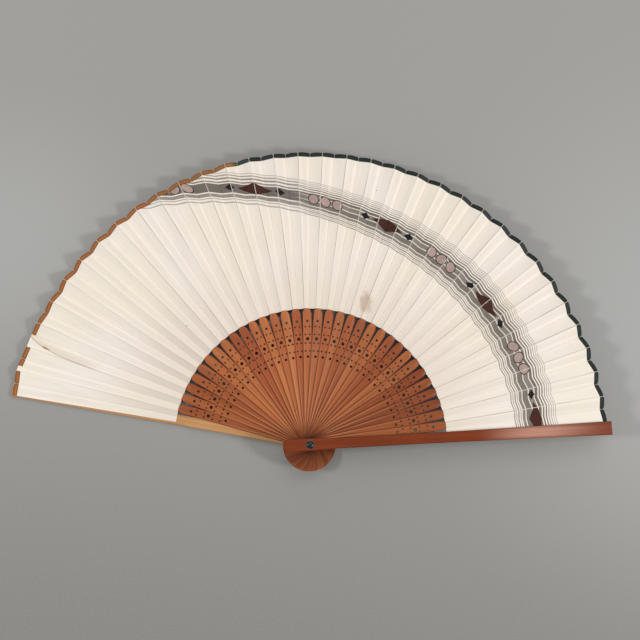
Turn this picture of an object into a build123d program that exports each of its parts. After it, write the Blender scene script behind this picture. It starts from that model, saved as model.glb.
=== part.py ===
"""Folding hand fan: two guards and thirty-three perforated ribs on one rivet, with a pleated leaf.

Millimetres. The rivet stands along +Z at the origin, the underside of the back guard is at z = 0,
and the open fan is symmetric about +Y. Sticks are counted from the back guard (stick 0, at the left)
to the front guard (the last stick, at the right, on top of the stack).
"""
from build123d import *
from math import atan, cos, degrees, radians, sin, sqrt
import os

# ---------------------------------------------------------------- driving sizes
FAN_LENGTH = 227.0          # guard from end to end, the closed length of the fan
HEAD_REACH = 18.5           # from the rivet to the rounded end of every stick
RIB_COUNT = 33              # inner ribs, without the two guards
OPEN_ANGLE = 166.6          # degrees from guard to guard when open

PIN_RADIUS = 1.5
PIN_CLEARANCE = 0.05        # radial, between the shank and every stick's hole

RIB_THICKNESS = 0.38
LAYER_GAP = 0.06            # between neighbouring sticks in the stack
HEAD_WIDTH = 8.2            # of every stick at the rivet
HEAD_CORNER_RADIUS = 3.2    # rounding of the head end's two corners
WAIST_WIDTH = 7.0
WAIST_START = 17.0          # distance from the rivet where the waist begins
BLADE_WIDTH = 6.4           # of the perforated blade
BLADE_LENGTH = 20.0         # from the end of the waist's taper to the neck
NECK_LENGTH = 5.4           # where the blade narrows and twists, just short of the leaf
NECK_TO_LEAF = 0.4
LEAF_INNER_RADIUS = 93.8
GUARD_OVERHANG = 3.0        # the guards reach this far past the leaf's rim
TAIL_LEAD = 3.6             # from the neck's end to where the tail has its own width
TAIL_WIDTH = 3.3
TAIL_THICKNESS = 0.16
TAIL_TO_RIM = 1.4           # the tail stops short of the rim

NECK_SHAPE = (              # shares of the neck's length, of its slimming and of its roll
    (0.0, 0.0, 0.0),
    (0.4, 0.04, 0.2),
    (0.75, 0.22, 0.6),
    (1.0, 0.68, 1.0),
)

LARGE_HOLE_RADIUS = 1.0
MEDIUM_HOLE_RADIUS = 0.72
SMALL_HOLE_RADIUS = 0.43
PATTERN_TO_LEAF = 21.1      # from the large perforation to the leaf's inner edge
MEDIUM_HOLE_OFFSET = 12.45
SMALL_PAIR_OFFSETS = (3.0, 8.5)
SMALL_PAIR_HALF_SPACING = 1.5

GUARD_THICKNESS = 2.3
GUARD_WAIST_END = 60.0
GUARD_MIDDLE = 101.0
GUARD_MIDDLE_WIDTH = 7.4
GUARD_TIP_WIDTH = 9.4
GUARD_EDGE_RADIUS = 0.8     # rounding of the outer face's edges
GUARD_RELIEF = 1.0          # the inner face is cut back here to make room for the leaf
RELIEF_TO_LEAF = 9.8        # the relief begins this far short of the leaf
RELIEF_RAMP = 6.0

PLEAT_RISE = 2.35           # fold above and below the rib's level, at the rim
FIRST_PLEAT_RISE = 1.0      # the same at the ribs next to the guards
PLEAT_RISE_STEP = 0.38      # how much it may grow from one rib to the next
LEAF_THICKNESS = 0.42       # vertical, of the two pasted sheets with the tails between them
POCKET_CLEARANCE = 0.03     # between a tail and the leaf round it
LEAF_JOIN_GAP = 0.03        # between neighbouring lengths of the leaf
GLUE_GAP = 0.02             # between the leaf and the guards' relieved faces
GLUED_EDGE_ANGLE = 1.05     # the leaf's end edges, from the guards' centre lines
PLEATS_PER_LENGTH = 2       # pleats in each length of leaf

BINDING_WIDTH = 2.5
BINDING_THICKNESS = 0.1
BINDING_CLEARANCE = 0.02
AMBER_PLEATS = (7, 6)       # pleats in each length of the amber binding
GREEN_PLEATS = (7, 7, 7)    # pleats in each length of the green binding

RIVET_HEAD_RADIUS = 2.7
RIVET_HEAD_HEIGHT = 1.3
RIVET_DIMPLE_RADIUS = 0.55
WASHER_RADIUS = 3.15
WASHER_THICKNESS = 0.25
CAP_RADIUS = 2.8
CAP_THICKNESS = 0.8
CAP_FLOOR = 0.25            # closed bottom of the cap under the shank
CAP_CLEARANCE = 0.08        # round the cap in its counterbore, and below it

# ---------------------------------------------------------------- worked out from them
TIP_REACH = FAN_LENGTH - HEAD_REACH
LEAF_RIM_RADIUS = TIP_REACH - GUARD_OVERHANG
NECK_END = LEAF_INNER_RADIUS - NECK_TO_LEAF
NECK_START = NECK_END - NECK_LENGTH
BLADE_START = NECK_START - BLADE_LENGTH
PATTERN_CENTRE = LEAF_INNER_RADIUS - PATTERN_TO_LEAF
RELIEF_START = LEAF_INNER_RADIUS - RELIEF_TO_LEAF
PITCH_ANGLE = OPEN_ANGLE / (RIB_COUNT + 1)
PITCH_HEIGHT = RIB_THICKNESS + LAYER_GAP
LAST_STICK = RIB_COUNT + 1
FOLD_ANGLE = PITCH_ANGLE / 4                     # from a rib's centre line to the folds beside it
HOLE_RADIUS = PIN_RADIUS + PIN_CLEARANCE
FRONT_GUARD_BOTTOM = GUARD_THICKNESS + LAYER_GAP + RIB_COUNT * PITCH_HEIGHT
STACK_TOP = FRONT_GUARD_BOTTOM + GUARD_THICKNESS
TAIL_END = LEAF_RIM_RADIUS - TAIL_TO_RIM


def stick_angle(stick):
    """Azimuth of a stick's centre line in degrees, falling from the back guard to the front guard."""
    return 90 + OPEN_ANGLE / 2 - PITCH_ANGLE * stick


def rib_level(rib):
    """Height of the middle of a rib's thickness."""
    return GUARD_THICKNESS + LAYER_GAP + (rib - 1) * PITCH_HEIGHT + RIB_THICKNESS / 2


def pleat_rise(rib):
    """Height of the folds beside a rib above and below its level, at the rim."""
    from_guard = min(rib, LAST_STICK - rib) - 1
    return min(PLEAT_RISE, FIRST_PLEAT_RISE + PLEAT_RISE_STEP * from_guard)


def tail_tilt(rib):
    """Roll of a rib's tail about its own length, so that it lies in its panel of the leaf."""
    return degrees(atan(pleat_rise(rib) / (LEAF_RIM_RADIUS * sin(radians(FOLD_ANGLE)))))


def place(solid, stick, height):
    """Turns a solid drawn along +X to its stick's azimuth and lifts it to its height."""
    return Location((0, 0, height), (0, 0, stick_angle(stick))) * solid


# ---------------------------------------------------------------- sticks
def stick_outline(stations, tip_reach):
    """Flat outline of a stick along +X from (distance, width) stations, its head end round the rivet."""
    half_head = HEAD_WIDTH / 2
    corner = -sqrt(HEAD_REACH**2 - half_head**2)
    left = [(x, width / 2) for x, width in stations]
    right = [(x, -width / 2) for x, width in reversed(stations)]
    half_tip = stations[-1][1] / 2
    if stations[-1][0] < tip_reach:
        left.append((tip_reach, half_tip))
        right.insert(0, (tip_reach, -half_tip))
    side = Polyline((corner, half_head), *left)
    end = Line((tip_reach, half_tip), (tip_reach, -half_tip))
    back = Polyline(*right, (corner, -half_head))
    head = ThreePointArc((corner, -half_head), (-HEAD_REACH, 0), (corner, half_head))
    outline = make_face(Curve() + [side, end, back, head])
    return fillet(outline.vertices().sort_by(Axis.X)[:2], HEAD_CORNER_RADIUS)


def rolled_section(distance, width, thickness, tilt):
    """Rectangle square to +X at a distance from the rivet, rolled about +X by tilt degrees."""
    plane = Plane(origin=(distance, 0, 0), x_dir=(0, cos(radians(tilt)), sin(radians(tilt))), z_dir=(1, 0, 0))
    return plane * Rectangle(width, thickness)


def neck_and_tail(tilt, start, grow=0.0):
    """The twisting neck and the flat tail behind it, grown all round for the pocket it lies in."""
    full_tail = NECK_END + TAIL_LEAD
    shoulders = [(NECK_START + NECK_LENGTH * share, slimmed, rolled) for share, slimmed, rolled in NECK_SHAPE]
    shoulders += [(full_tail, 1.0, 1.0), (TAIL_END + grow, 1.0, 1.0)]
    sections = []
    for distance, slimmed, rolled in shoulders:
        if distance < start:
            continue
        thinned = min(1.0, (distance - NECK_START) / (full_tail - NECK_START))
        width = BLADE_WIDTH + (TAIL_WIDTH - BLADE_WIDTH) * slimmed
        thickness = RIB_THICKNESS + (TAIL_THICKNESS - RIB_THICKNESS) * thinned
        sections.append(rolled_section(distance, width + 2 * grow, thickness + 2 * grow, rolled * tilt))
    return loft(sections, ruled=True)


def perforations():
    """The eleven holes of a rib, as one set of cutters along +X."""
    depth = 4 * RIB_THICKNESS
    cutters = [Pos(PATTERN_CENTRE, 0, 0) * Cylinder(LARGE_HOLE_RADIUS, depth)]
    for side in (-1, 1):
        medium = PATTERN_CENTRE + side * MEDIUM_HOLE_OFFSET
        cutters.append(Pos(medium, 0, 0) * Cylinder(MEDIUM_HOLE_RADIUS, depth))
        for offset in SMALL_PAIR_OFFSETS:
            for across in (-SMALL_PAIR_HALF_SPACING, SMALL_PAIR_HALF_SPACING):
                spot = Pos(PATTERN_CENTRE + side * offset, across, 0)
                cutters.append(spot * Cylinder(SMALL_HOLE_RADIUS, depth))
    return cutters


def rib_blade():
    """The flat head, waist and blade of a rib, the same on every rib."""
    stations = [(0, HEAD_WIDTH), (WAIST_START, WAIST_WIDTH), (BLADE_START, BLADE_WIDTH)]
    outline = stick_outline(stations, NECK_START)
    return extrude(outline, RIB_THICKNESS / 2, both=True)


def rib(blade, number):
    """One rib at its own place, its tail rolled into its panel of the leaf."""
    whole = blade + neck_and_tail(tail_tilt(number), NECK_START)
    whole -= [Cylinder(HOLE_RADIUS, 4 * RIB_THICKNESS), *perforations()]
    return place(whole, number, rib_level(number))


def guard():
    """A guard along +X with its inner face at z = 0 and its rounded outer face above."""
    stations = [
        (0, HEAD_WIDTH),
        (WAIST_START, WAIST_WIDTH),
        (GUARD_WAIST_END, WAIST_WIDTH),
        (GUARD_MIDDLE, GUARD_MIDDLE_WIDTH),
        (TIP_REACH, GUARD_TIP_WIDTH),
    ]
    body = extrude(stick_outline(stations, TIP_REACH), GUARD_THICKNESS)
    body = fillet(body.faces().sort_by(Axis.Z)[-1].edges(), GUARD_EDGE_RADIUS)
    ramp_end = RELIEF_START + RELIEF_RAMP
    beyond = TIP_REACH + 1
    relief = make_face(
        Plane.XZ
        * Polyline(
            (RELIEF_START, 0),
            (ramp_end, GUARD_RELIEF),
            (beyond, GUARD_RELIEF),
            (beyond, -1),
            (RELIEF_START, -1),
            close=True,
        )
    )
    body -= extrude(relief, GUARD_TIP_WIDTH, both=True)
    return body - Cylinder(HOLE_RADIUS, 4 * GUARD_THICKNESS)


def front_guard():
    return place(guard(), LAST_STICK, FRONT_GUARD_BOTTOM)


def back_guard():
    turned = Rot(180, 0, 0) * guard()
    seat_radius = CAP_RADIUS + CAP_CLEARANCE
    seat_depth = CAP_THICKNESS + CAP_CLEARANCE
    outer_face = -GUARD_THICKNESS
    seat = Pos(0, 0, outer_face) * Cylinder(seat_radius, 2 * seat_depth)
    return place(turned - seat, 0, GUARD_THICKNESS)


# ---------------------------------------------------------------- rivet
def rivet():
    """Shank and domed head, with a small dimple in the crown."""
    seat = STACK_TOP + WASHER_THICKNESS
    bottom = CAP_CLEARANCE + CAP_FLOOR
    shank = Pos(0, 0, bottom) * Cylinder(
        PIN_RADIUS, seat - bottom, align=(Align.CENTER, Align.CENTER, Align.MIN)
    )
    ball = (RIVET_HEAD_RADIUS**2 + RIVET_HEAD_HEIGHT**2) / (2 * RIVET_HEAD_HEIGHT)
    dome = Pos(0, 0, seat + RIVET_HEAD_HEIGHT - ball) * Sphere(ball)
    dome &= Pos(0, 0, seat) * Cylinder(
        RIVET_HEAD_RADIUS, RIVET_HEAD_HEIGHT, align=(Align.CENTER, Align.CENTER, Align.MIN)
    )
    dimple = Pos(0, 0, seat + RIVET_HEAD_HEIGHT + RIVET_DIMPLE_RADIUS / 2) * Sphere(RIVET_DIMPLE_RADIUS)
    return shank + dome - dimple


def rivet_washer():
    bottom = (Align.CENTER, Align.CENTER, Align.MIN)
    ring = Cylinder(WASHER_RADIUS, WASHER_THICKNESS, align=bottom)
    ring = fillet(ring.faces().sort_by(Axis.Z)[-1].edges(), WASHER_THICKNESS / 2)
    return Pos(0, 0, STACK_TOP) * (ring - Cylinder(HOLE_RADIUS, 4 * WASHER_THICKNESS))


def rivet_back_cap():
    bottom = (Align.CENTER, Align.CENTER, Align.MIN)
    cap = Cylinder(CAP_RADIUS, CAP_THICKNESS, align=bottom)
    cap -= Pos(0, 0, CAP_FLOOR) * Cylinder(PIN_RADIUS, CAP_THICKNESS, align=bottom)
    return Pos(0, 0, CAP_CLEARANCE) * cap


# ---------------------------------------------------------------- leaf
def fold_lines():
    """Every fold of the leaf from left to right, as (azimuth, level at the rivet axis, rise at the rim)."""
    half = LEAF_THICKNESS / 2
    floor = GUARD_THICKNESS - GUARD_RELIEF + GLUE_GAP + half
    ceiling = FRONT_GUARD_BOTTOM + GUARD_RELIEF - GLUE_GAP - half
    lines = [
        (stick_angle(0) + GLUED_EDGE_ANGLE, floor, 0.0),
        (stick_angle(0) - FOLD_ANGLE, floor, 0.0),
    ]
    for number in range(1, LAST_STICK):
        rise = pleat_rise(number)
        lines.append((stick_angle(number) + FOLD_ANGLE, rib_level(number), rise))
        lines.append((stick_angle(number) - FOLD_ANGLE, rib_level(number), -rise))
    lines.append((stick_angle(LAST_STICK) + FOLD_ANGLE, ceiling, 0.0))
    lines.append((stick_angle(LAST_STICK) - GLUED_EDGE_ANGLE, ceiling, 0.0))
    return lines


def fold_point(line, radius, lift):
    """A point of a fold line at a distance from the rivet, lifted off the middle of the sheet."""
    azimuth, level, rise = line
    height = level + rise * radius / LEAF_RIM_RADIUS + lift
    return Vector(radius * cos(radians(azimuth)), radius * sin(radians(azimuth)), height)


def along(line, other, share):
    """The radial line that lies a share of the way from one fold line to the next."""
    return tuple(a + (b - a) * share for a, b in zip(line, other))


def pleated_sheet(lines, inner, outer, thickness):
    """Closed solid of a pleated sheet between two radii, made of flat facets."""
    half = thickness / 2
    grid = {
        (n, radius, side): fold_point(line, radius, side * half)
        for n, line in enumerate(lines)
        for radius in (inner, outer)
        for side in (-1, 1)
    }
    faces = []

    def facet(*corners):
        faces.append(Face(Wire.make_polygon([grid[c] for c in corners], close=True)))

    for n in range(len(lines) - 1):
        for side in (-1, 1):
            facet((n, inner, side), (n, outer, side), (n + 1, outer, side))
            facet((n, inner, side), (n + 1, outer, side), (n + 1, inner, side))
        for radius in (inner, outer):
            facet((n, radius, -1), (n, radius, 1), (n + 1, radius, 1), (n + 1, radius, -1))
    for n in (0, len(lines) - 1):
        facet((n, inner, -1), (n, inner, 1), (n, outer, 1), (n, outer, -1))
    return Solid(Shell(faces))


def drawn_in(lines, first, last):
    """The same fold lines with the outer two moved inward by the named gaps (arc lengths at the rim)."""
    turn_first = degrees(first / LEAF_RIM_RADIUS)
    turn_last = degrees(last / LEAF_RIM_RADIUS)
    left, right = lines[0], lines[-1]
    share_left = turn_first / (left[0] - lines[1][0])
    share_right = turn_last / (lines[-2][0] - right[0])
    return [along(left, lines[1], share_left), *lines[1:-1], along(right, lines[-2], share_right)]


def leaf_length(lines, number):
    """One length of the leaf, two pleats wide, cut away where the tails and necks lie in it."""
    first = (number - 1) * PLEATS_PER_LENGTH
    last = first + PLEATS_PER_LENGTH
    ends_at_guard = last == LAST_STICK
    part = lines[2 * first : 2 * last + (2 if ends_at_guard else 1)]
    gap_left = 0 if first == 0 else LEAF_JOIN_GAP / 2
    gap_right = 0 if ends_at_guard else LEAF_JOIN_GAP / 2
    sheet = pleated_sheet(
        drawn_in(part, gap_left, gap_right), LEAF_INNER_RADIUS, LEAF_RIM_RADIUS, LEAF_THICKNESS
    )
    for held in range(max(first, 1), min(last + 1, LAST_STICK)):
        pocket = neck_and_tail(tail_tilt(held), LEAF_INNER_RADIUS - 1, POCKET_CLEARANCE)
        sheet -= place(pocket, held, rib_level(held))
    return sheet


def binding_length(lines, first, last):
    """One length of the binding over the rim of the leaf, from pleat first to pleat last, off the guards."""
    part = lines[2 * first + (1 if first == 0 else 0) : 2 * last + 1]
    join = LEAF_JOIN_GAP / 2
    off_guard = max(join, GUARD_TIP_WIDTH / 2 + BINDING_THICKNESS - LEAF_RIM_RADIUS * radians(FOLD_ANGLE))
    gap_left = off_guard if first == 0 else join
    gap_right = off_guard if last == LAST_STICK else join
    part = drawn_in(part, gap_left, gap_right)
    room = LEAF_THICKNESS + 2 * BINDING_CLEARANCE
    inner = LEAF_RIM_RADIUS - BINDING_WIDTH
    edge = LEAF_RIM_RADIUS + BINDING_CLEARANCE
    outside = pleated_sheet(part, inner, edge + BINDING_THICKNESS, room + 2 * BINDING_THICKNESS)
    wider = [along(part[0], part[1], -0.1), *part[1:-1], along(part[-1], part[-2], -0.1)]
    return outside - pleated_sheet(wider, inner - 1, edge, room)


# ---------------------------------------------------------------- writing
def write(solid, name):
    export_step(solid, f"parts/{name}.step")


def main():
    os.makedirs("parts", exist_ok=True)
    write(back_guard(), "back_guard")
    write(front_guard(), "front_guard")
    write(rivet(), "rivet")
    write(rivet_washer(), "rivet_washer")
    write(rivet_back_cap(), "rivet_back_cap")
    blade = rib_blade()
    for number in range(1, LAST_STICK):
        write(rib(blade, number), f"rib_{number:02d}")
    lines = fold_lines()
    for number in range(1, LAST_STICK // PLEATS_PER_LENGTH + 1):
        write(leaf_length(lines, number), f"leaf_{number:02d}")
    start = 0
    for colour, counts in (("amber", AMBER_PLEATS), ("green", GREEN_PLEATS)):
        for number, count in enumerate(counts, 1):
            write(binding_length(lines, start, start + count), f"rim_binding_{colour}_{number}")
            start += count


main()
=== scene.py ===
"""The look of the folding hand fan: its paper leaf, the binding of its rim, bamboo, rivet, floor and light.

Metres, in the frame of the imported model. The rivet stands along +Z at the origin and the open fan is
symmetric about +Y. Sticks are counted from the back guard (0, at the left) to the front guard (34).
"""
import random
from math import cos, hypot, pi, radians, sin

import bpy
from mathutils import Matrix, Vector


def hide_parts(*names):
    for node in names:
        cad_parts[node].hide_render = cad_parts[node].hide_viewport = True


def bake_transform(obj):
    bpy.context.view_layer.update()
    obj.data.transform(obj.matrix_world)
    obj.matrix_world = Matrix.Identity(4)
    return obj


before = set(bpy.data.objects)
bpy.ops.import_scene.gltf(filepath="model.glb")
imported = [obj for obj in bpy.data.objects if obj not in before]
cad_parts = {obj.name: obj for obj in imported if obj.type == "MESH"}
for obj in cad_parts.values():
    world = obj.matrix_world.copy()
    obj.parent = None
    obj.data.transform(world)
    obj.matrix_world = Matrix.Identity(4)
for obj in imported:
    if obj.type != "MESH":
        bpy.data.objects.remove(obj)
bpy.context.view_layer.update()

MM = 0.001

# ------------------------------------------------- sizes of the fan, in millimetres and degrees
LAST_STICK = 34
PITCH = 4.9                 # from one stick to the next when open
FOLD_ANGLE = PITCH / 4      # from a stick's centre line to the folds beside it
END_EDGE_ANGLE = 1.05       # from a guard's centre line to the end of the leaf
INNER = 93.8                # the leaf's inner edge, from the rivet
RIM = 205.5                 # the leaf's outer edge
FIRST_LEVEL = 2.55          # height of the first rib's middle
LEVEL_STEP = 0.44           # from one rib to the next
RISE = 2.35                 # of the folds above and below a rib, at the rim
FIRST_RISE = 1.0            # the same at the ribs beside the guards
RISE_STEP = 0.38            # how much it grows from one rib to the next
ON_BACK_GUARD = 1.40        # height of the paper glued to the back guard
UNDER_FRONT_GUARD = 17.78   # height of the paper glued under the front guard

PAPER_HALF = 0.06           # half the thickness of the paper
TAIL_HALF = 0.055           # how far a tail lifts each sheet
TAIL_START = 93.4
TAIL_LEAD = 3.6             # over which a tail narrows to its own width
TAIL_START_HALF_WIDTH = 2.14
TAIL_HALF_WIDTH = 1.65
TAIL_END = 204.1
TAIL_EDGE = 0.6             # from a tail's end to the row of points before it
FLANK = 0.35                # width of the slope where the paper runs off a tail
WIDEST_TAIL = 0.46          # share of a panel that half a tail may take
WIDEST_FLANK = 0.475        # the same with the slope beside it
NEAR_FOLD = 0.02            # share of a panel between a fold and the column beside it
LEAF_ROWS = 24              # of faces from the inner edge to the rim
SHARP_ANGLE = 18.0          # from which on an edge is shaded sharp
HINGE_SHARE = 0.98          # of INNER, where a pleat's bend between two sticks is measured

BINDING_WIDTH = 2.8
BINDING_HALF = 0.04
BINDING_PROUD = 0.06
BINDING_ROUNDING = (0.7, 0.2)       # rows of points this far inside the rim
GREEN_FROM = 13             # the first pleat with the dark green binding
BINDING_LOST = {1: 0.4, 2: 1.0}     # share of a pleat's first panel that has lost its binding
BINDING_PUFF = 0.35         # how far the binding bulges out between two folds
# How far the rim stands out at its mountain folds and in at its valleys, by azimuth from JAG_START on.
RIM_JAGS = (0.80, 0.20, -0.10, -0.50, 0.00, 0.30, 0.30)
JAG_START, JAG_STEP = 15.0, 25.0
JAG_FADE = 4                # folds over which the jags die out at the front guard
# How far the rim has slipped out at the first folds.
SLIPPED = (2.0, 2.3, 2.8, 2.5, 1.1, 1.9, 0.8, 0.5, 0.2)

HEAD_LENGTH = 17.0          # of a stick, from the rivet to where its waist begins
WAIST_LENGTH = 68.0         # from the rivet to where a rib's blade begins
HEAD_EXTRA = 0.6            # by which a rib's half width at the rivet is more than at its waist
WAIST_HALF, BLADE_HALF = 3.5, 3.2   # half widths of a rib
GUARD_STRETCH = (30.0, 240.0)       # between these distances a guard grows
GUARD_HALVES = (3.45, 4.9)          # from this half width to that
# Perforations of a rib: (from the pattern's centre, aside, radius), the same on both sides of both.
PATTERN_CENTRE = 72.7
PERFORATIONS = ((0.0, 0.0, 1.0), (3.0, 1.5, 0.43), (8.5, 1.5, 0.43), (12.45, 0.0, 0.72))

UV_SPAN = 0.5               # metres across the UV square
UV_ORIGIN = (0.5, 0.1)
TABLE_END = 0.001           # a place in a table stays this far short of its last entry


def between(table, place):
    """The entries of a table before and after a place in it, and the share of the way between them."""
    place = min(max(place, 0.0), len(table) - 1 - TABLE_END)
    return table[int(place)], table[int(place) + 1], place % 1.0


def stick_angle(stick):
    """Azimuth of a stick when the fan is open."""
    return 90.0 + PITCH * (LAST_STICK / 2 - stick)


# ---------------------------------------------------------------- shape of the leaf
def fold(line):
    """Fold line as (azimuth, level at the rivet, rise at the rim).

    Even lines are mountains and odd ones are valleys.
    """
    stick, side = divmod(line, 2)
    angle = FOLD_ANGLE
    if line == 0 or line == 2 * LAST_STICK + 1:
        angle = END_EDGE_ANGLE
    azimuth = stick_angle(stick) + (angle if side == 0 else -angle)
    if stick == 0:
        return azimuth, ON_BACK_GUARD, 0.0
    if stick == LAST_STICK:
        return azimuth, UNDER_FRONT_GUARD, 0.0
    rise = min(RISE, FIRST_RISE + RISE_STEP * (min(stick, LAST_STICK - stick) - 1))
    return azimuth, FIRST_LEVEL + LEVEL_STEP * (stick - 1), rise if side == 0 else -rise


def point(line, share, radius):
    """(azimuth, height) a share of the way from a fold line to the next."""
    (a0, l0, r0), (a1, l1, r1) = fold(line), fold(line + 1)
    h0, h1 = l0 + r0 * radius / RIM, l1 + r1 * radius / RIM
    return a0 + (a1 - a0) * share, h0 + (h1 - h0) * share


def rim_offset(line):
    """How far past its even circle the rim stands at a fold."""
    if line < len(SLIPPED):
        return SLIPPED[line]
    before, after, share = between(RIM_JAGS, (fold(line)[0] - JAG_START) / JAG_STEP)
    jag = before + (after - before) * share
    return (jag if line % 2 == 0 else -jag) * min(1.0, (2 * LAST_STICK + 1 - line) / JAG_FADE)


def slipped(line, share, radius):
    """Distance from the rivet of a point that follows the rim, the more so the further out it is."""
    before, after = rim_offset(line), rim_offset(line + 1)
    return radius + (before + (after - before) * share) * (radius - INNER) / (RIM - INNER)


def tilt_factor(line, radius):
    """How much thicker a tilted panel is along +Z than square to itself."""
    (a0, h0), (a1, h1) = point(line, 0, radius), point(line, 1, radius)
    width = radius * radians(a0 - a1)
    return hypot(width, h1 - h0) / width


def tail_half_width(radius):
    """Half the width of the tail that lies between the sheets."""
    share = min(1.0, max(0.0, (radius - TAIL_START) / TAIL_LEAD))
    return TAIL_START_HALF_WIDTH + (TAIL_HALF_WIDTH - TAIL_START_HALF_WIDTH) * share


def panel_columns(line, radius, start, end):
    """Columns of a panel at a radius, as (share, lift): lift is 1 over a tail and 0 beside it."""
    stick, side = divmod(line, 2)
    if side == 1 or stick in (0, LAST_STICK):
        inside = [(NEAR_FOLD, 0.0), (0.5, 0.0), (1.0 - NEAR_FOLD, 0.0)]
    else:
        width = radius * radians(2 * FOLD_ANGLE)
        tail = min(tail_half_width(radius) / width, WIDEST_TAIL)
        flank = min(tail + FLANK / width, WIDEST_FLANK)
        lift = 1.0 if radius < TAIL_END else 0.0
        inside = [(NEAR_FOLD, 0.0), (0.5 - flank, 0.0), (0.5 - tail, lift), (0.5, lift),
                  (0.5 + tail, lift), (0.5 + flank, 0.0), (1.0 - NEAR_FOLD, 0.0)]
    middle = [(min(max(share, start), end), lift) for share, lift in inside]
    return [(start, 0.0)] + middle + [(end, 0.0)]


def sheet_mesh(name, panels, radii, half, puff=0.0):
    """Closed mesh of a folded sheet, with panels given as (line, start share, end share).

    half is half its thickness, and puff is how far the last two rows bulge out between two folds.
    """
    vertices, flat, faces = [], [], []
    rows = []
    for radius in radii:
        top, bottom = [], []
        for index, (line, start, end) in enumerate(panels):
            factor = tilt_factor(line, radius)
            columns = panel_columns(line, radius, start, end)
            if index:
                columns = columns[1:]
            for share, lift in columns:
                azimuth, height = point(line, share, radius)
                across, up = cos(radians(azimuth)), sin(radians(azimuth))
                reach = slipped(line, share, radius) * MM
                if radius in radii[-2:]:
                    reach += puff * MM * (1.0 - abs(2.0 * share - 1.0) ** 3)
                offset = (half + TAIL_HALF * lift) * factor
                for side, signed in ((top, offset), (bottom, -offset)):
                    side.append(len(vertices))
                    vertices.append((reach * across, reach * up, (height + signed) * MM))
                    flat.append((radius * MM * across, radius * MM * up))
        rows.append((top, bottom))
    for (top, bottom), (next_top, next_bottom) in zip(rows, rows[1:]):
        for n in range(len(top) - 1):
            faces.append((top[n], top[n + 1], next_top[n + 1], next_top[n]))
            faces.append((bottom[n], next_bottom[n], next_bottom[n + 1], bottom[n + 1]))
        faces.append((top[0], next_top[0], next_bottom[0], bottom[0]))
        faces.append((top[-1], bottom[-1], next_bottom[-1], next_top[-1]))
    for (top, bottom), flip in ((rows[0], False), (rows[-1], True)):
        for n in range(len(top) - 1):
            face = (top[n], bottom[n], bottom[n + 1], top[n + 1])
            faces.append(face[::-1] if flip else face)
    mesh = bpy.data.meshes.new(name)
    mesh.from_pydata(vertices, [], faces)
    mesh.update()
    layer = mesh.uv_layers.new(name="leaf")
    for loop in mesh.loops:
        x, y = flat[loop.vertex_index]
        layer.data[loop.index].uv = (x / UV_SPAN + UV_ORIGIN[0], y / UV_SPAN + UV_ORIGIN[1])
    for polygon in mesh.polygons:
        polygon.use_smooth = True
    mesh.set_sharp_from_angle(angle=radians(SHARP_ANGLE))
    piece = bpy.data.objects.new(name, mesh)
    bpy.context.scene.collection.objects.link(piece)
    return piece


def bend_with_sticks(piece, number):
    """Bakes the piece's transform into its mesh. The ends of its folds by the rivet are worked out, but
    nothing bends the piece.
    """
    reach = HINGE_SHARE * INNER * MM
    ends = []
    for line in (2 * number + 1, 2 * number + 2):
        azimuth, level = fold(line)[:2]
        ends.append((reach * cos(radians(azimuth)), reach * sin(radians(azimuth)), level * MM))
    start, end = ends
    end = (end[0], end[1], start[2])
    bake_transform(piece)


# ---------------------------------------------------------------- materials
def srgb(red, green, blue):
    """A colour given as 0 to 255 display values, as the linear values that shaders take."""
    linear = []
    for value in (red, green, blue):
        value /= 255.0
        linear.append(value / 12.92 if value <= 0.04045 else ((value + 0.055) / 1.055) ** 2.4)
    return (*linear, 1.0)


def tinted(colour, tint):
    """A colour with its red, green and blue each taken times a share."""
    return tuple(min(1.0, level * share) for level, share in zip(colour, (*tint, 1.0)))


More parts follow.
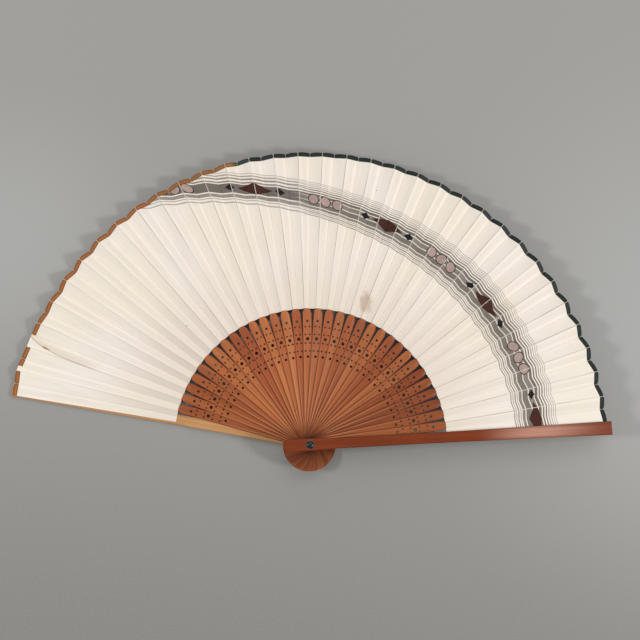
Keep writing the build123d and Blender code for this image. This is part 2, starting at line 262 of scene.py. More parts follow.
class Finish:
    """A node material under construction."""

    def __init__(self, name):
        self.material = bpy.data.materials.new(name)
        self.material.use_nodes = True
        self.tree = self.material.node_tree
        self.tree.nodes.clear()
        self.output = self.tree.nodes.new("ShaderNodeOutputMaterial")

    def put(self, socket, value):
        """A socket takes a link from another socket, or a plain value."""
        if isinstance(value, bpy.types.NodeSocket):
            self.tree.links.new(value, socket)
        else:
            socket.default_value = value

    def node(self, kind, inputs=None, **settings):
        """A new node of a kind, with its inputs given by name or number."""
        made = self.tree.nodes.new("ShaderNode" + kind)
        for key, value in settings.items():
            setattr(made, key, value)
        for key, value in (inputs or {}).items():
            self.put(made.inputs[key], value)
        return made

    def math(self, operation, *values, clamp=False):
        made = self.node("Math", operation=operation, use_clamp=clamp)
        for socket, value in zip(made.inputs, values):
            self.put(socket, value)
        return made.outputs[0]

    def times(self, first, *others):
        """Product of two or more values."""
        for other in others:
            first = self.math("MULTIPLY", first, other)
        return first

    def length(self, x, y):
        """Distance of a point in a plane from the plane's origin."""
        return self.math("SQRT", self.math("ADD", self.times(x, x), self.times(y, y)))

    def distance(self, place, spot):
        """Distance of the shaded place from a spot."""
        return self.node("VectorMath", {0: place, 1: spot}, operation="DISTANCE").outputs["Value"]

    def mix(self, share, first, second):
        """The first colour with a share of the second. Inputs 6 and 7 and output 2 are the colours."""
        return self.node("Mix", {0: share, 6: first, 7: second}, data_type="RGBA").outputs[2]

    def ramp(self, value, stops):
        """Grey level of a value, from stops of (position, level)."""
        made = self.node("ValToRGB", {"Fac": value})
        band = made.color_ramp
        while len(band.elements) < len(stops):
            band.elements.new(0.5)
        for element, (position, level) in zip(band.elements, stops):
            element.position = position
            element.color = (level, level, level, 1.0)
        return made.outputs[0]

    def smooth(self, value, low, high, start=0.0, end=1.0):
        """Value taken smoothly from start at low to end at high."""
        made = self.node("MapRange", interpolation_type="SMOOTHSTEP")
        for socket, given in zip(made.inputs, (value, low, high, start, end)):
            self.put(socket, given)
        return made.outputs[0]

    def noise(self, vector, scale, detail=3.0, roughness=0.5, size=None):
        """Noise from 0 to 1. size stretches it along the three axes."""
        if size is not None:
            vector = self.node("VectorMath", {0: vector, 1: size}, operation="MULTIPLY").outputs[0]
        inputs = {"Vector": vector, "Scale": scale, "Detail": detail, "Roughness": roughness}
        return self.node("TexNoise", inputs).outputs["Fac"]

    def bump(self, height, distance, strength, under=None):
        """Normal of a bumpy surface, on top of another normal where one is given."""
        inputs = {"Height": height, "Distance": distance, "Strength": strength}
        if under is not None:
            inputs["Normal"] = under
        return self.node("Bump", inputs).outputs[0]

    def surface(self, **inputs):
        """Ends the material in one Principled surface and returns it."""
        made = self.node("BsdfPrincipled", {key.replace("_", " "): value for key, value in inputs.items()})
        self.tree.links.new(made.outputs[0], self.output.inputs["Surface"])
        return self.material


def leaf_coordinates(f):
    """Rest position on the leaf: point in millimetres, distance from the rivet, azimuth, pleat, x and y.

    Pleats are counted from 0, with fractions.
    """
    uv = f.node("UVMap", uv_map="leaf").outputs[0]
    parts = f.node("SeparateXYZ", {0: uv}).outputs
    x = f.times(f.math("SUBTRACT", parts[0], UV_ORIGIN[0]), UV_SPAN / MM)
    y = f.times(f.math("SUBTRACT", parts[1], UV_ORIGIN[1]), UV_SPAN / MM)
    place = f.node("CombineXYZ", {0: x, 1: y, 2: 0.0}).outputs[0]
    azimuth = f.times(f.math("ARCTAN2", y, x), 180 / pi)
    pleat = f.math("DIVIDE", f.math("SUBTRACT", stick_angle(0) + FOLD_ANGLE, azimuth), PITCH)
    return place, f.length(x, y), azimuth, pleat, x, y


def fold_distances(f, pleat, radius):
    """Distances in millimetres along the arc to the nearest mountain fold and the nearest valley fold."""
    shares = [f.math("PINGPONG", turned, 0.5) for turned in (pleat, f.math("ADD", pleat, 0.5))]
    return [f.times(share, radius, radians(PITCH)) for share in shares]


# ---------------------------------------------------------------- paper
WARM_PAPER, CREAM_PAPER = srgb(242, 233, 224), srgb(241, 232, 216)
PAPER_BY_STICKS, STREAKED_PAPER = srgb(229, 215, 199), srgb(226, 214, 201)
PAPER_FIBRE, PAPER_OVER_TAIL = srgb(219, 206, 188), srgb(206, 193, 178)
SHADED_PAPER, SOILED_FOLD, SHADED_VALLEY = srgb(212, 198, 187), srgb(176, 154, 130), srgb(190, 178, 164)
INK, WORN_INK = srgb(94, 86, 79), srgb(226, 217, 204)
BROWN_LOZENGE, BLACK_LOZENGE, DISC_RING = srgb(70, 38, 32), srgb(28, 27, 27), srgb(52, 36, 32)
DARK_PEARL, LIGHT_PEARL = srgb(150, 118, 106), srgb(196, 178, 172)
# The last two colours are painted shade of the crease and of the buckled paper beside it.
STAINED_PAPER, BUCKLE_SHADE, CREASE_SHADE = srgb(190, 160, 136), srgb(196, 180, 148), srgb(150, 128, 104)

TAIL_MARK = (1.3, 2.1)      # from a tail's middle, between which its mark in the paper dies out
SHADE_COMES = (115.0, 150.0)        # azimuths between which the shade of every second panel comes up
WEAR_LESSENS = (120.0, 150.0)       # azimuths between which the folds' wear lessens

# The printed band's inner and outer edge: distance from the rivet, and how it grows past an azimuth
# towards the left.
BAND_INNER = (142.0, 4.6e-5, 20.0)
BAND_OUTER = (171.8, 6.45e-5, 35.0)
# Stripes across the band from its inner to its outer edge: (start, end, depth of the ink).
# Past the middle of the fan, towards the left, they are fewer and broader.
STRIPES = (
    (0.000, 0.022, 0.85), (0.050, 0.070, 0.65), (0.098, 0.124, 0.90), (0.152, 0.172, 0.70),
    (0.200, 0.268, 0.85), (0.290, 0.420, 0.95), (0.442, 0.560, 0.88), (0.582, 0.650, 1.00),
    (0.680, 0.714, 1.00), (0.748, 0.778, 0.95), (0.812, 0.834, 0.78), (0.868, 0.886, 0.68),
    (0.920, 0.936, 0.60), (0.968, 0.984, 0.55),
)
LEFT_STRIPES = (
    (0.000, 0.040, 0.62), (0.110, 0.140, 0.60), (0.180, 0.290, 0.80), (0.330, 0.630, 1.00),
    (0.665, 0.715, 0.85), (0.770, 0.825, 0.80), (0.872, 0.915, 0.70), (0.962, 0.990, 0.50),
)
LEFT_STRIPES_COME = (92.0, 99.0)    # azimuths between which one set of stripes gives way to the other
STRIPE_BLUR = 0.006         # of a stripe's edge, as a share of the band
FIRST_MOTIF = 2.0           # azimuth where the first motif's stretch begins
MOTIF_PITCH = 16.0          # degrees between motifs
LOZENGE, SMALL_LOZENGE = (24.0, 9.0), (7.0, 5.0)        # lengths and widths
SMALL_LOZENGE_PLACE = 17.0  # along the band on both sides of a large lozenge
DISC_PLACES = (-8.5, 0.0, 8.5)
DISC_RADIUS, DISC_RING_RADIUS = 3.3, 3.9

STAIN_CENTRE, STAIN_SIZE = (32.6, 100.0), (6.0, 10.5)   # along X and Y
# The crease follows the fold between the second and the third pleat, and bends off at the rim. Its dark
# line and the darker buckled paper beside it are painted shade.
CREASE_AZIMUTH = 164.8
CREASE_BEND = 2.1           # degrees by which it has bent off at the rim
CREASE_BEND_LENGTH = 14.0   # over which the bend dies out
CREASE_COMES = (150.0, 166.0)       # distances between which the crease comes up
BUCKLE_WIDTH = 7.5          # of the darker paper beside the crease

# Small spots on the paper: (x, y, radius, strength, colour).
SPOTS = (
    (-187.1, 54.4, 0.9, 0.9, srgb(190, 128, 62)), (-186.0, 53.9, 1.1, 0.9, srgb(186, 122, 58)),
    (-184.7, 53.4, 1.0, 0.8, srgb(178, 118, 60)), (-183.2, 52.8, 0.8, 0.6, srgb(170, 120, 70)),
    (36.0, 181.4, 0.6, 0.6, srgb(120, 104, 90)), (-90.7, 76.0, 0.55, 0.8, srgb(90, 80, 74)),
    (96.0, 132.0, 0.45, 0.45, srgb(130, 112, 92)), (-48.0, 160.5, 0.4, 0.4, srgb(140, 122, 100)),
)


def blank_paper(f, place, radius, azimuth, pleat, mountain, valley, streaks, fibres):
    """Colour of the unprinted paper, with the tails showing through it, partly as painted shade, and the
    marks of its folds.
    """
    clouds = f.noise(place, 0.018, 3.0)
    ground = f.mix(f.smooth(clouds, 0.35, 0.65), WARM_PAPER, CREAM_PAPER)
    ground = f.mix(f.smooth(radius, 90.0, 150.0, 0.45, 0.0), ground, PAPER_BY_STICKS)
    ground = f.mix(f.smooth(streaks, 0.45, 0.75, 0.0, 0.45), ground, STREAKED_PAPER)
    ground = f.mix(f.smooth(fibres, 0.52, 0.8, 0.0, 0.25), ground, PAPER_FIBRE)
    # panel A of each pleat lies on a tail, which shows through as a darker band, partly painted shade of
    # the ridge it raises
    panel_a = f.math("LESS_THAN", f.math("FRACT", pleat), 0.5)
    tail = f.math("SUBTRACT", mountain, f.times(radius, radians(FOLD_ANGLE)))
    tail = f.smooth(f.math("ABSOLUTE", tail), *TAIL_MARK, 1.0, 0.0)
    tail = f.times(tail, panel_a, f.smooth(radius, TAIL_END - 1, TAIL_END + 1, 0.20, 0.0))
    ground = f.mix(tail, ground, PAPER_OVER_TAIL)
    # towards the left, panel B lies in a soft shade near the sticks
    shaded = f.times(f.math("SUBTRACT", 1.0, panel_a), f.smooth(radius, 100.0, 165.0, 0.55, 0.0))
    shaded = f.times(shaded, f.smooth(azimuth, *SHADE_COMES))
    ground = f.mix(shaded, ground, SHADED_PAPER)
    # each fold has its own wear
    index = f.math("FLOOR", f.math("ADD", pleat, 0.5))
    along_fold = f.node("CombineXYZ", {0: f.times(index, 7.3), 1: f.times(radius, 0.018), 2: 0.0})
    fold_wear = f.smooth(f.noise(along_fold.outputs[0], 1.0, 2.0), 0.34, 0.62, 0.22, 0.9)
    fold_wear = f.times(fold_wear, f.smooth(azimuth, *WEAR_LESSENS, 1.0, 0.55))
    soiled = f.times(f.smooth(mountain, 0.08, 0.36, 1.0, 0.0), fold_wear)
    blank = f.mix(soiled, ground, SOILED_FOLD)
    return f.mix(f.smooth(valley, 0.1, 0.5, 0.18, 0.0), blank, SHADED_VALLEY)


def with_printed_band(f, blank, place, radius, azimuth, mountain):
    """The paper's colour with a striped band printed on it, and a row of plain motifs along the band."""

    def band_edge(start, growth, azimuth_from):
        past = f.math("MAXIMUM", f.math("SUBTRACT", azimuth, azimuth_from), 0.0)
        return f.math("ADD", f.times(f.math("POWER", past, 3.0), growth), start)

    inner = band_edge(*BAND_INNER)
    width = f.math("SUBTRACT", band_edge(*BAND_OUTER), inner)
    across = f.math("DIVIDE", f.math("SUBTRACT", radius, inner), width)

    def inked(stripes):
        total = None
        for start, end, depth in stripes:
            begun = f.smooth(across, start - STRIPE_BLUR, start + STRIPE_BLUR)
            ended = f.smooth(across, end - STRIPE_BLUR, end + STRIPE_BLUR, depth, 0.0)
            inside = f.times(begun, ended)
            total = inside if total is None else f.math("ADD", total, inside)
        return total

    left = f.smooth(azimuth, *LEFT_STRIPES_COME)
    ink = f.times(inked(STRIPES), f.math("SUBTRACT", 1.0, left))
    ink = f.math("ADD", ink, f.times(inked(LEFT_STRIPES), left))
    hatch = f.noise(place, 2.2, 2.0, 0.5)
    ink = f.math("MULTIPLY", ink, f.smooth(hatch, 0.25, 0.65, 0.76, 1.0), clamp=True)
    printed = f.mix(ink, blank, INK)

    # motifs, evenly spaced along the band: lozenges and rows of discs by turns
    count = f.math("DIVIDE", f.math("SUBTRACT", azimuth, FIRST_MOTIF), MOTIF_PITCH)
    nearest = f.math("FLOOR", count)
    gone = f.math("SUBTRACT", f.math("SUBTRACT", count, nearest), 0.5)
    along = f.times(gone, radius, radians(MOTIF_PITCH))
    aside = f.times(f.math("SUBTRACT", across, 0.5), width)
    odd = f.math("MODULO", f.math("ABSOLUTE", nearest), 2.0)
    even = f.math("SUBTRACT", 1.0, odd)

    def lozenge(centre, length, breadth):
        ahead = f.math("DIVIDE", f.math("ABSOLUTE", f.math("SUBTRACT", along, centre)), length / 2)
        off = f.math("DIVIDE", f.math("ABSOLUTE", aside), breadth / 2)
        return f.smooth(f.math("ADD", ahead, off), 0.97, 1.03, 1.0, 0.0)

    def disc(centre, size):
        off = f.length(f.math("SUBTRACT", along, centre), aside)
        return f.smooth(off, size - 0.15, size + 0.15, 1.0, 0.0)

    printed = f.mix(f.times(even, lozenge(0.0, *LOZENGE)), printed, BROWN_LOZENGE)
    sides = [lozenge(centre, *SMALL_LOZENGE) for centre in (-SMALL_LOZENGE_PLACE, SMALL_LOZENGE_PLACE)]
    printed = f.mix(f.times(even, f.math("MAXIMUM", *sides)), printed, BLACK_LOZENGE)
    pearl = f.mix(f.noise(place, 0.5, 3.0), DARK_PEARL, LIGHT_PEARL)
    for centre in DISC_PLACES:
        printed = f.mix(f.times(odd, disc(centre, DISC_RING_RADIUS)), printed, DISC_RING)
        printed = f.mix(f.times(odd, disc(centre, DISC_RADIUS)), printed, pearl)
    # the print has worn off along the mountain folds
    worn = f.times(f.smooth(mountain, 0.1, 0.34, 0.85, 0.0), f.math("GREATER_THAN", ink, 0.02))
    return f.mix(worn, printed, WORN_INK)


def with_marks(f, printed, place, x, y, radius, azimuth):
    """The paper's colour with a stain by the inner edge, painted shade of a crease at the left end, and
    small spots.
    """
    stain_x = f.math("DIVIDE", f.math("SUBTRACT", x, STAIN_CENTRE[0]), STAIN_SIZE[0])
    stain_y = f.math("DIVIDE", f.math("SUBTRACT", y, STAIN_CENTRE[1]), STAIN_SIZE[1])
    stain_and_edge_shade = f.math("ADD", f.length(stain_x, stain_y), f.times(f.noise(place, 0.16, 3.0), 1.1))
    coloured = f.mix(f.smooth(stain_and_edge_shade, 0.9, 1.5, 0.62, 0.0), printed, STAINED_PAPER)

    bent = f.math("EXPONENT", f.math("DIVIDE", f.math("SUBTRACT", radius, RIM), CREASE_BEND_LENGTH))
    course = f.math("SUBTRACT", CREASE_AZIMUTH, f.times(bent, CREASE_BEND))
    off_crease = f.times(f.math("SUBTRACT", azimuth, course), radius, pi / 180)
    creased = f.smooth(radius, *CREASE_COMES)
    # painted shade on the buckled paper beside the crease, and on the crease itself
    buckle_shade = f.smooth(off_crease, -BUCKLE_WIDTH, 0.0, 0.0, 0.32)
    buckle_shade = f.times(buckle_shade, f.math("LESS_THAN", off_crease, 0.0), creased)
    coloured = f.mix(buckle_shade, coloured, BUCKLE_SHADE)
    crease_shade = f.smooth(f.math("ABSOLUTE", off_crease), 0.05, 0.42, 0.75, 0.0)
    coloured = f.mix(f.times(crease_shade, creased), coloured, CREASE_SHADE)

    for spot_x, spot_y, size, strength, shade in SPOTS:
        off = f.distance(place, (spot_x, spot_y, 0.0))
        coloured = f.mix(f.smooth(off, size * 0.5, size, strength, 0.0), coloured, shade)
    return coloured


def paper():
    """The leaf's paper, with its folds, a printed band, a stain, a crease and spots."""
    f = Finish("leaf_paper")
    place, radius, azimuth, pleat, x, y = leaf_coordinates(f)
    mountain, valley = fold_distances(f, pleat, radius)
    polar = f.node("CombineXYZ", {0: radius, 1: f.times(azimuth, 2.0), 2: 0.0}).outputs[0]
    streaks = f.noise(polar, 0.35, 4.0, 0.6, size=(0.06, 1.0, 1.0))
    fibres = f.noise(place, 1.9, 4.0, 0.7)
    waves = f.noise(polar, 0.09, 2.0, 0.5, size=(0.5, 1.0, 1.0))
    colour = blank_paper(f, place, radius, azimuth, pleat, mountain, valley, streaks, fibres)
    colour = with_printed_band(f, colour, place, radius, azimuth, mountain)
    colour = with_marks(f, colour, place, x, y, radius, azimuth)
    normal = f.bump(waves, 0.0012, 0.5)
    normal = f.bump(fibres, 0.00006, 0.35, under=normal)
    return f.surface(Base_Color=colour, Roughness=0.82, Normal=normal, Specular_IOR_Level=0.22)


# ---------------------------------------------------------------- binding
# Share of the border's colour across the band, from its inner edge to the rim: painted shade of the rounded
# band.
BORDER_SHADE_LEVELS = ((0.0, 1.0), (0.2, 0.5), (0.5, 0.0), (0.78, 0.45), (1.0, 1.0))
TURNING_OLIVE, TURNING_GREEN, TURNING_BORDER = srgb(104, 104, 52), srgb(42, 64, 62), srgb(15, 25, 27)
OLIVE_AMBER = srgb(134, 108, 58)
OLIVE_COMES, OLIVE_GOES = (106.0, 111.0), (124.0, 129.0)        # azimuths, in the amber


def binding(name, middle, border, tick, turning=False):
    """Paper band folded over the rim: painted shade darkens its borders round a lighter middle; pale ticks
    at folds.

    Turning from amber to green, it goes through olive within one panel.
    """
    f = Finish(name)
    place, radius, azimuth, pleat = leaf_coordinates(f)[:4]
    across = f.math("DIVIDE", f.math("SUBTRACT", radius, RIM - BINDING_WIDTH), BINDING_WIDTH)
    level = f.ramp(across, BORDER_SHADE_LEVELS)
    patches = f.noise(place, 0.8, 4.0, 0.6)
    if turning:
        share = f.math("FRACT", pleat)
        middle = f.mix(f.smooth(share, 0.18, 0.36), middle, TURNING_OLIVE)
        middle = f.mix(f.smooth(share, 0.42, 0.5), middle, TURNING_GREEN)
        border = f.mix(f.smooth(share, 0.25, 0.45), border, TURNING_BORDER)
    elif name == "binding_amber":
        olive = f.times(f.smooth(azimuth, *OLIVE_COMES), f.smooth(azimuth, *OLIVE_GOES, 0.55, 0.0))
        middle = f.mix(olive, middle, OLIVE_AMBER)
    # painted shade of the band's rounded edges, lighter in its middle
    colour = f.mix(level, middle, border)
    colour = f.mix(f.smooth(patches, 0.4, 0.75, 0.0, 0.55), colour, border)
    mountain, valley = fold_distances(f, pleat, radius)
    nearest = f.math("MINIMUM", mountain, valley)
    # painted shade at the pinched ends of each segment, by the folds
    colour = f.mix(f.smooth(nearest, 0.3, 1.3, 0.8, 0.0), colour, border)
    # between two folds the band is puffed out, and at its corners the paper shows
    corner = f.smooth(nearest, 0.1, 0.9, 0.20, 0.0)
    inset = f.math("MINIMUM", across, f.math("SUBTRACT", 1.0, across))
    colour = f.mix(f.smooth(f.math("SUBTRACT", inset, corner), -0.06, 0.04, 0.6, 0.0), colour, tick)
    colour = f.mix(f.smooth(mountain, 0.1, 0.38, 0.75, 0.0), colour, tick)
    colour = f.mix(f.smooth(valley, 0.08, 0.3, 0.45, 0.0), colour, tick)
    normal = f.bump(patches, 0.0001, 0.5)
    return f.surface(Base_Color=colour, Roughness=0.6, Normal=normal, Specular_IOR_Level=0.3)


# ---------------------------------------------------------------- bamboo and metal
# The last of these tints is painted shade along a stick's edges.
DEEP, PALE, EDGE_SHADE_TINT = (0.48, 0.40, 0.34), (1.30, 1.38, 1.42), (0.26, 0.17, 0.12)    # tints of a stick
GRAIN_SIZE, BAND_SIZE, PATCH_SIZE = (9.0, 1500.0, 700.0), (12.0, 420.0, 120.0), (30.0, 60.0, 60.0)
# Painted light on a stick: the varnish's sheen, the highlight of a rib's edge, and the shade round a
# perforation.
PAINTED_SHEEN, EDGE_HIGHLIGHT, HOLE_SHADE = srgb(222, 170, 150), srgb(210, 146, 104), srgb(40, 18, 8)
SHEEN_COMES, SHEEN_GOES = (0.112, 0.155), (0.160, 0.208)        # metres from the rivet, on a guard
# width of the painted shade round each perforation, which darkens the hole
HOLE_SHADE_WIDTH = 0.36          # of the dark rim round a perforation, in millimetres


def rib_half_width(f, distance):
    """Half the width of a rib at a distance from the rivet, in metres."""

    def tapered(first, last, start, end):
        inputs = {0: distance, 1: first * MM, 2: last * MM, 3: start * MM, 4: end * MM}
        return f.node("MapRange", inputs).outputs[0]

    head = tapered(0.0, HEAD_LENGTH, HEAD_EXTRA, 0.0)
    return f.math("ADD", head, tapered(HEAD_LENGTH, WAIST_LENGTH, WAIST_HALF, BLADE_HALF))


def from_perforation(f, along, aside):
    """Distance in metres from the edge of the nearest perforation."""
    along = f.math("ABSOLUTE", f.math("SUBTRACT", along, PATTERN_CENTRE * MM))
    spot = f.node("CombineXYZ", {0: along, 1: aside, 2: 0.0}).outputs[0]
    nearest = None
    for centre, across, radius in PERFORATIONS:
        gone = f.math("SUBTRACT", f.distance(spot, (centre * MM, across * MM, 0.0)), radius * MM)
        nearest = gone if nearest is None else f.math("MINIMUM", nearest, gone)
    return nearest


def bamboo(name, azimuth, base, seed, guard=False, sheen_strength=0.0):
    """Bamboo with its fibres along a stick at an azimuth, and painted shade along its edges.

    The last argument is how strong the painted highlight of the varnish is on the outer part of a guard.
    """
    f = Finish(name)
    place = f.node("TexCoord").outputs["Object"]
    turn = {"Vector": place, "Axis": (0.0, 0.0, 1.0), "Angle": -radians(azimuth)}
    turned = f.node("VectorRotate", turn).outputs[0]
    parts = f.node("SeparateXYZ", {0: turned}).outputs
    along, aside = parts[0], f.math("ABSOLUTE", parts[1])
    grained = f.node("VectorMath", {0: turned, 1: (0.0, 0.0, seed)}, operation="ADD").outputs[0]
    grain = f.noise(grained, 1.0, 5.0, 0.65, size=GRAIN_SIZE)
    bands = f.noise(grained, 1.0, 2.0, 0.5, size=BAND_SIZE)
    patches = f.noise(grained, 1.0, 3.0, 0.5, size=PATCH_SIZE)
    deep, pale, stain_and_edge_shade = (tinted(base, tint) for tint in (DEEP, PALE, EDGE_SHADE_TINT))
    colour = f.mix(f.smooth(grain, 0.42, 0.78, 0.0, 0.5), base, deep)
    colour = f.mix(f.smooth(bands, 0.46, 0.72, 0.0, 0.6), colour, pale)
    colour = f.mix(f.smooth(patches, 0.4, 0.7, 0.0, 0.22), colour, deep)
    if guard:
        (first, last), (start, end) = GUARD_STRETCH, GUARD_HALVES
        half = f.smooth(along, first * MM, last * MM, start * MM, end * MM)
        # painted shade along a guard's rounded edges
        edge = f.smooth(f.math("SUBTRACT", half, aside), 0.1 * MM, 0.8 * MM, 0.45, 0.0)
        past_head = f.math("GREATER_THAN", along, HEAD_LENGTH * MM)
        colour = f.mix(f.times(edge, past_head), colour, stain_and_edge_shade)
        # a painted highlight of the varnish on the outer part of a guard
        sheen = f.times(f.smooth(along, *SHEEN_COMES), f.smooth(along, *SHEEN_GOES, 1.0, 0.1))
        sheen = f.times(sheen, f.smooth(grain, 0.3, 0.75, sheen_strength, sheen_strength * 0.45))
        sheen = f.times(sheen, f.smooth(aside, 1.5 * MM, 4.4 * MM, 1.0, 0.4))
        colour = f.mix(sheen, colour, PAINTED_SHEEN)
    else:
        colour = f.mix(f.smooth(along, -3.0 * MM, 9.0 * MM, 0.65, 0.0), colour, deep)
        # painted shade along a rib's edges, where it lies on the next rib and where its edge rounds off
        inset = f.math("SUBTRACT", rib_half_width(f, along), aside)
        colour = f.mix(f.smooth(inset, 0.1 * MM, 0.55 * MM, 0.85, 0.0), colour, stain_and_edge_shade)
        # beside its painted edge shade, the waist of a rib has a painted highlight, where its edge catches
        # the light
        edge_highlight = f.smooth(inset, 0.45 * MM, 0.75 * MM)
        edge_highlight = f.times(edge_highlight, f.smooth(inset, 0.95 * MM, 1.6 * MM, 1.0, 0.0))
        edge_highlight = f.times(edge_highlight, f.smooth(patches, 0.3, 0.65, 0.25, 1.0))
        waist = f.smooth(along, 8.0 * MM, 16.0 * MM)
        waist = f.times(waist, f.smooth(along, 40.0 * MM, 80.0 * MM, 0.45, 0.0))
        colour = f.mix(f.times(edge_highlight, waist), colour, EDGE_HIGHLIGHT)
        # painted shade round the perforations
        hole_shade = f.smooth(from_perforation(f, along, aside), 0.0, HOLE_SHADE_WIDTH * MM, 0.9, 0.0)
        colour = f.mix(hole_shade, colour, HOLE_SHADE)
    rough = f.smooth(grain, 0.3, 0.8, 0.36, 0.58)
    normal = f.bump(grain, 0.00012, 0.4)
    return f.surface(Base_Color=colour, Roughness=rough, Normal=normal, Specular_IOR_Level=0.22)


def metal(name, colour, metallic, roughness):
    """Rivet metal or lacquer with small scratches and dull patches."""
    f = Finish(name)
    place = f.node("TexCoord").outputs["Object"]
    wear = f.noise(place, 900.0, 4.0, 0.6)
    paler = (*(min(1.0, level * 1.8 + 0.01) for level in colour[:3]), 1.0)
    shade = f.mix(f.smooth(wear, 0.4, 0.8, 0.0, 0.5), colour, paler)
    rough = f.smooth(wear, 0.3, 0.8, roughness, roughness + 0.2)
    normal = f.bump(wear, 0.00003, 0.3)
    return f.surface(Base_Color=shade, Metallic=metallic, Roughness=rough, Normal=normal)


def dress(node, material):
    """A CAD node takes a material in place of its plain one."""
    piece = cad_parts[node]
    if not piece.material_slots:
        piece.data.materials.append(material)
    for slot in piece.material_slots:
        slot.material = material


# ---------------------------------------------------------------- the leaf
PAPER = paper()
AMBER = binding("binding_amber", srgb(174, 110, 57), srgb(116, 64, 28), srgb(212, 184, 152))
GREEN = binding("binding_green", srgb(27, 43, 39), srgb(10, 16, 16), srgb(182, 178, 166))
TURNING = binding(
    "binding_turning", srgb(180, 116, 56), srgb(116, 70, 30), srgb(206, 190, 158), turning=True)

LEAF_RADII = [INNER + (RIM - INNER) * row / LEAF_ROWS for row in range(LEAF_ROWS + 1)]
LEAF_RADII[-2:] = [TAIL_END - TAIL_EDGE, TAIL_END, RIM]
BINDING_RADII = [RIM - BINDING_WIDTH, TAIL_END - TAIL_EDGE, TAIL_END]
BINDING_RADII += [RIM - inside for inside in BINDING_ROUNDING] + [RIM + BINDING_PROUD]

for number in range(LAST_STICK):
    panels = [(2 * number, 0.0, 1.0), (2 * number + 1, 0.0, 1.0)]
    if number == LAST_STICK - 1:
        panels.append((2 * number + 2, 0.0, 1.0))
    pleat = sheet_mesh(f"leaf_pleat_{number:02d}", panels, LEAF_RADII, PAPER_HALF)
    pleat.data.materials.append(PAPER)
    bend_with_sticks(pleat, number)
    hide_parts(f"leaf_{number // 2 + 1:02d}")

    lost = BINDING_LOST.get(number, 0.0)
    panels[0] = (2 * number, lost, 1.0)
    if lost == 1.0:
        del panels[0]
    half = PAPER_HALF + BINDING_HALF
    edge = sheet_mesh(f"rim_binding_{number:02d}", panels, BINDING_RADII, half, BINDING_PUFF)
    green = number >= GREEN_FROM
    edge.data.materials.append(GREEN if number > GREEN_FROM else TURNING if green else AMBER)
    bend_with_sticks(edge, number)
    if green:
        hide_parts(f"rim_binding_green_{(number - GREEN_FROM) // 7 + 1}")
    else:
        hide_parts(f"rim_binding_amber_{1 if number < 7 else 2}")

# ---------------------------------------------------------------- sticks and rivet
TONES = random.Random(41)
RIB_COLOURS = (
    srgb(167, 91, 55), srgb(183, 107, 66), srgb(152, 77, 45), srgb(166, 95, 63), srgb(185, 112, 70),
)
FRONT_COLOUR, BACK_COLOUR = srgb(121, 51, 18), srgb(190, 140, 92)
# How the ribs darken towards both ends of the fan: tints from the right to the left.
RIB_TINTS = (
    (0.66, 0.58, 0.48), (0.85, 0.80, 0.70), (1.04, 1.07, 1.07), (1.09, 1.11, 1.00), (0.86, 0.80, 0.62),
)
RIB_TINT_START, RIB_TINT_STEP = 24.0, 32.6    # azimuth of the first tint, and from one to the next
SEED_STEP = 0.37            # between the grains of neighbouring ribs


def rib_tint(azimuth):
    """Tint of a rib at an azimuth."""
    before, after, share = between(RIB_TINTS, (azimuth - RIB_TINT_START) / RIB_TINT_STEP)
    return [a + (b - a) * share for a, b in zip(before, after)]


for stick in range(1, LAST_STICK):
    first, second = TONES.sample(RIB_COLOURS, 2)
    share = TONES.random()
    base = tuple(a + (b - a) * share for a, b in zip(first, second))
    base = tinted(base, rib_tint(stick_angle(stick)))
    dress(f"rib_{stick:02d}", bamboo(f"bamboo_{stick:02d}", stick_angle(stick), base, SEED_STEP * stick))
front = bamboo("bamboo_front_guard", stick_angle(LAST_STICK), FRONT_COLOUR, 3.1, guard=True, sheen_strength=0.72)
dress("front_guard", front)
dress("back_guard", bamboo("bamboo_back_guard", stick_angle(0), BACK_COLOUR, 5.3, guard=True))
dress("rivet", metal("rivet_lacquer", srgb(13, 13, 14), 0.0, 0.24))
dress("rivet_back_cap", metal("cap_lacquer", srgb(24, 24, 26), 0.0, 0.2))
dress("rivet_washer", metal("washer_metal", srgb(112, 96, 84), 0.8, 0.35))

# ---------------------------------------------------------------- floor
ROOM_LEVEL = 0.40           # of the world's even light
FLOOR_SIZE, FLOOR_LEVEL = 6.0, -0.0002      # just below the back guard's flat face
# The floor's colour holds painted light: darker towards -Y, lighter towards +Y and +X.
SHADED_FLOOR, LIT_FLOOR = srgb(137, 135, 131), srgb(158, 156, 152)
FLOOR_TURNS = (-0.20, 0.12)         # along +Y, between which it goes from the near to the far colour
FLOOR_LEAN = 0.06           # of that change along +X
POOL_LIGHT, FLOOR_GRIT = srgb(171, 171, 169), srgb(164, 163, 161)
# Painted pools of light on the floor: (centre, reach, strength).
PAINTED_LIGHT_POOLS = (((0.27, 0.10, 0.0), 0.24, 0.9), ((-0.22, 0.13, 0.0), 0.13, 0.8))
FLOOR_FADES = (0.5, 1.8)    # from the fan, between which the floor fades into the room

bpy.ops.mesh.primitive_plane_add(size=FLOOR_SIZE, location=(0.0, 0.0, FLOOR_LEVEL))
floor = bpy.context.object
floor.name = "floor"
f = Finish("floor")
place = f.node("TexCoord").outputs["Object"]
grit = f.noise(place, 900.0, 3.0, 0.6)
where = f.node("SeparateXYZ", {0: place}).outputs
lean = f.math("ADD", where[1], f.times(where[0], FLOOR_LEAN))
# painted light across the floor
colour = f.mix(f.smooth(lean, *FLOOR_TURNS), SHADED_FLOOR, LIT_FLOOR)
# painted pools of light
for spot, reach, strength in PAINTED_LIGHT_POOLS:
    lit = f.smooth(f.distance(place, spot), 0.0, reach, strength, 0.0)
    colour = f.mix(lit, colour, POOL_LIGHT)
colour = f.mix(f.smooth(grit, 0.4, 0.7, 0.0, 0.25), colour, FLOOR_GRIT)
floor.data.materials.append(f.surface(Base_Color=colour, Roughness=0.9, Specular_IOR_Level=0.1))
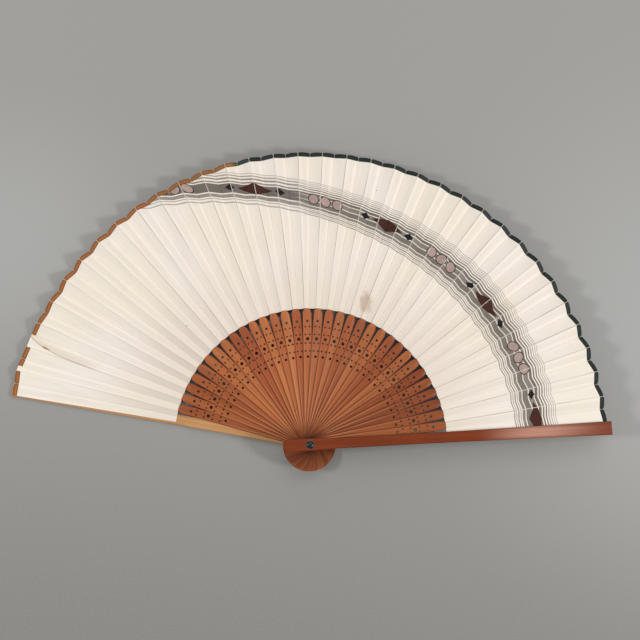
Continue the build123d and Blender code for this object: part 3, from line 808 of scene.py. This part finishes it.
# far from the fan, the floor that shows fades into the room behind it
near = f.output.inputs["Surface"].links[0].from_socket
glow = f.node("Emission", {"Color": (ROOM_LEVEL, ROOM_LEVEL, ROOM_LEVEL, 1.0), "Strength": 1.0}).outputs[0]
rays = f.node("LightPath").outputs
mirrored = f.math("ADD", rays["Is Glossy Ray"], rays["Is Transmission Ray"])
shown = f.math("ADD", rays["Is Camera Ray"], mirrored, clamp=True)
far = f.smooth(f.node("VectorMath", {0: place}, operation="LENGTH").outputs["Value"], *FLOOR_FADES)
faded = f.node("MixShader", {0: f.times(far, shown), 1: near, 2: glow}).outputs[0]
f.put(f.output.inputs["Surface"], faded)

# ---------------------------------------------------------------- light
LIT_SPOT = (0.0, 0.08, 0.0)
LAMPS = (                   # (name, azimuth, elevation, distance, size, level)
    ("right", 347.0, 31.0, 1.6, 0.28, 0.24),
    ("left", 184.0, 35.0, 1.6, 0.22, 0.21),
    ("back", 75.0, 38.0, 1.6, 1.5, 0.12),
    ("high_back", 90.0, 62.0, 2.0, 1.2, 0.10),
)


def lamp(name, azimuth, elevation, distance, size, level):
    """Square soft light that faces the leaf.

    level is its share of the light at which colours render as they are written.
    """
    flat, height = distance * cos(radians(elevation)), distance * sin(radians(elevation))
    offset = Vector((flat * cos(radians(azimuth)), flat * sin(radians(azimuth)), height))
    data = bpy.data.lights.new(name, "AREA")
    data.shape = "SQUARE"
    data.size = size
    data.energy = level * (pi * distance) ** 2 / sin(radians(elevation))
    made = bpy.data.objects.new(name, data)
    bpy.context.scene.collection.objects.link(made)
    made.location = Vector(LIT_SPOT) + offset
    made.rotation_euler = (-offset).to_track_quat("-Z", "Y").to_euler()


for settings in LAMPS:
    lamp(*settings)

world = bpy.data.worlds.new("room")
bpy.context.scene.world = world
world.use_nodes = True
background = world.node_tree.nodes["Background"]
background.inputs["Color"].default_value = (1.0, 1.0, 1.0, 1.0)
background.inputs["Strength"].default_value = ROOM_LEVEL

# ---------------------------------------------------------------- camera
CAMERA_PLACE, CAMERA_TURN = (-0.02121, 0.02523, 0.58780), (0.102, -0.046, 0.064)
CAMERA_ANGLE = 42.0         # of view, in degrees
NEAREST_SEEN = 0.01

camera_data = bpy.data.cameras.new("camera")
camera_data.angle = radians(CAMERA_ANGLE)
camera_data.clip_start = NEAREST_SEEN
camera = bpy.data.objects.new("camera", camera_data)
camera.location = CAMERA_PLACE
camera.rotation_euler = CAMERA_TURN
bpy.context.scene.collection.objects.link(camera)
bpy.context.scene.camera = camera
bpy.context.scene.view_settings.view_transform = "Standard"
